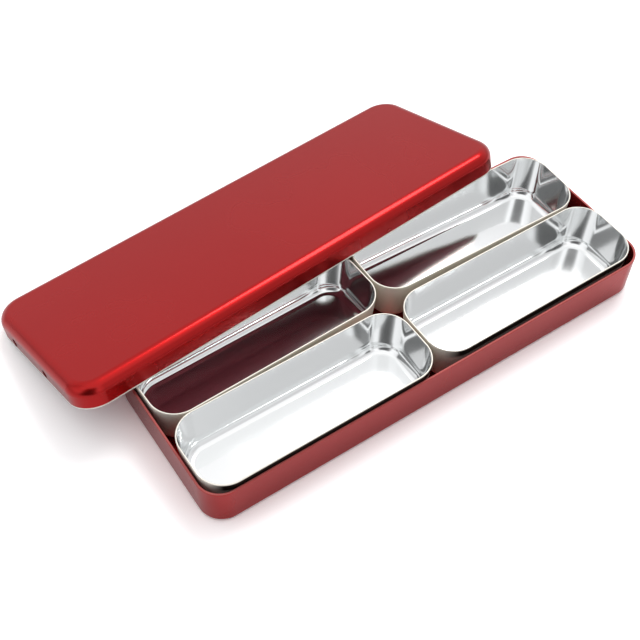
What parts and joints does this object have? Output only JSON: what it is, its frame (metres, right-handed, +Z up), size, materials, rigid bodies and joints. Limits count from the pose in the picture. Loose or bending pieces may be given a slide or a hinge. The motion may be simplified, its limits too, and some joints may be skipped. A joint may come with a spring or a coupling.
{
  "type": "endodontic file box",
  "caption": "Rounded metal box for root canal files, with loose drawn compartment inserts in its tray and its shallow lid leaning over the back.",
  "frame": {"origin": "middle of the tray's underside, on the surface that it stands on", "axes": "+X along the tray, +Y across it towards the leaning lid, +Z up"},
  "size_m": [0.2029, 0.1265, 0.0275],
  "materials": {
    "red_anodised": "satin red anodised aluminium",
    "polished_aluminium": "bright drawn and polished aluminium"
  },
  "bodies": {
    "base": {"base_tray": "red_anodised"},
    "lid": {"lid": "red_anodised"},
    "insert_front_left": {"insert_front_left": "polished_aluminium"},
    "insert_front_right": {"insert_front_right": "polished_aluminium"},
    "insert_back_left": {"insert_back_left": "polished_aluminium"},
    "insert_back_right": {"insert_back_right": "polished_aluminium"}
  },
  "joints": [
    {"name": "lid_lift", "type": "slide", "parent": "base", "child": "lid", "axis": [0, 0, 1], "range_m": [0, 0.066]},
    {"name": "insert_front_left_lift", "type": "slide", "parent": "base", "child": "insert_front_left", "axis": [0, 0, 1], "range_m": [0, 0.022]},
    {"name": "insert_front_right_lift", "type": "slide", "parent": "base", "child": "insert_front_right", "axis": [0, 0, 1], "range_m": [0, 0.022]},
    {"name": "insert_back_left_lift", "type": "slide", "parent": "base", "child": "insert_back_left", "axis": [0, 0, 1], "range_m": [0, 0.022]},
    {"name": "insert_back_right_lift", "type": "slide", "parent": "base", "child": "insert_back_right", "axis": [0, 0, 1], "range_m": [0, 0.022]}
  ],
  "couplings": [
    {"joint": "insert_back_left_lift", "follows": "lid_lift", "ratio": 0.33333},
    {"joint": "insert_back_right_lift", "follows": "lid_lift", "ratio": 0.33333}
  ]
}
